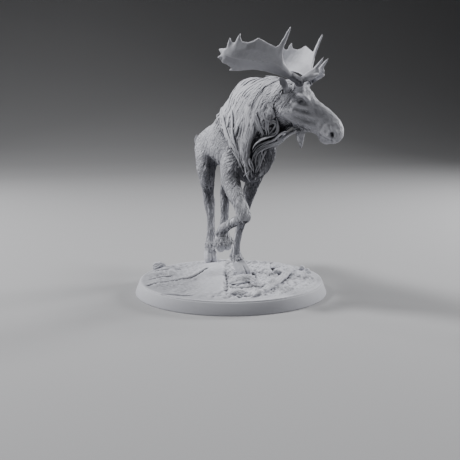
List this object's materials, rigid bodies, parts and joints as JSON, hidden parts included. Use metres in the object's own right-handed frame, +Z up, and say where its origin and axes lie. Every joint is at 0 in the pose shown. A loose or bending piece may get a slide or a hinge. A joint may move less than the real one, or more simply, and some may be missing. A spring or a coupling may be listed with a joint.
{
  "type": "moose figurine",
  "caption": "Cast tabletop figure of a trotting bull moose with broad palmed antlers, a long mane and a raised foreleg, on a round bevelled base of slab, rocks and a fallen branch.",
  "frame": {"origin": "middle of the flat underside of the round base", "axes": "+Z up; the moose trots towards -Y and its right side is towards -X; its head is turned to its left, towards +X"},
  "size_m": [0.05, 0.0707, 0.0654],
  "materials": {
    "coat": "matt bluish-grey cast resin, carved fur",
    "eye": "the same resin, smooth",
    "antler": "the same resin, smooth, fine grooves near the burr",
    "hoof": "the same resin, smooth",
    "ground": "the same resin, rough rock, bark and earth",
    "base": "the same resin, smooth turned rim"
  },
  "bodies": {
    "root": {"antler_left_beam": "antler", "antler_left_brow": "antler", "antler_left_palm": "antler", "antler_right_beam": "antler", "antler_right_brow": "antler", "antler_right_palm": "antler", "base": "base", "bell": "coat", "boulder": "ground", "branch": "ground", "ear_left": "coat", "ear_right": "coat", "eye_left": "eye", "eye_right": "eye", "fore_left_hoof": "hoof", "fore_left_lower": "coat", "fore_left_upper": "coat", "fore_right_hoof": "hoof", "fore_right_lower": "coat", "fore_right_upper": "coat", "ground": "ground", "head": "coat", "hind_left_hoof": "hoof", "hind_left_lower": "coat", "hind_left_upper": "coat", "hind_right_hoof": "hoof", "hind_right_lower": "coat", "hind_right_upper": "coat", "neck": "coat", "pebble_1": "ground", "pebble_2": "ground", "pebble_3": "ground", "stone_back": "ground", "stone_front": "ground", "stone_left": "ground", "stone_right": "ground", "tail": "coat", "trunk": "coat"}
  },
  "joints": []
}
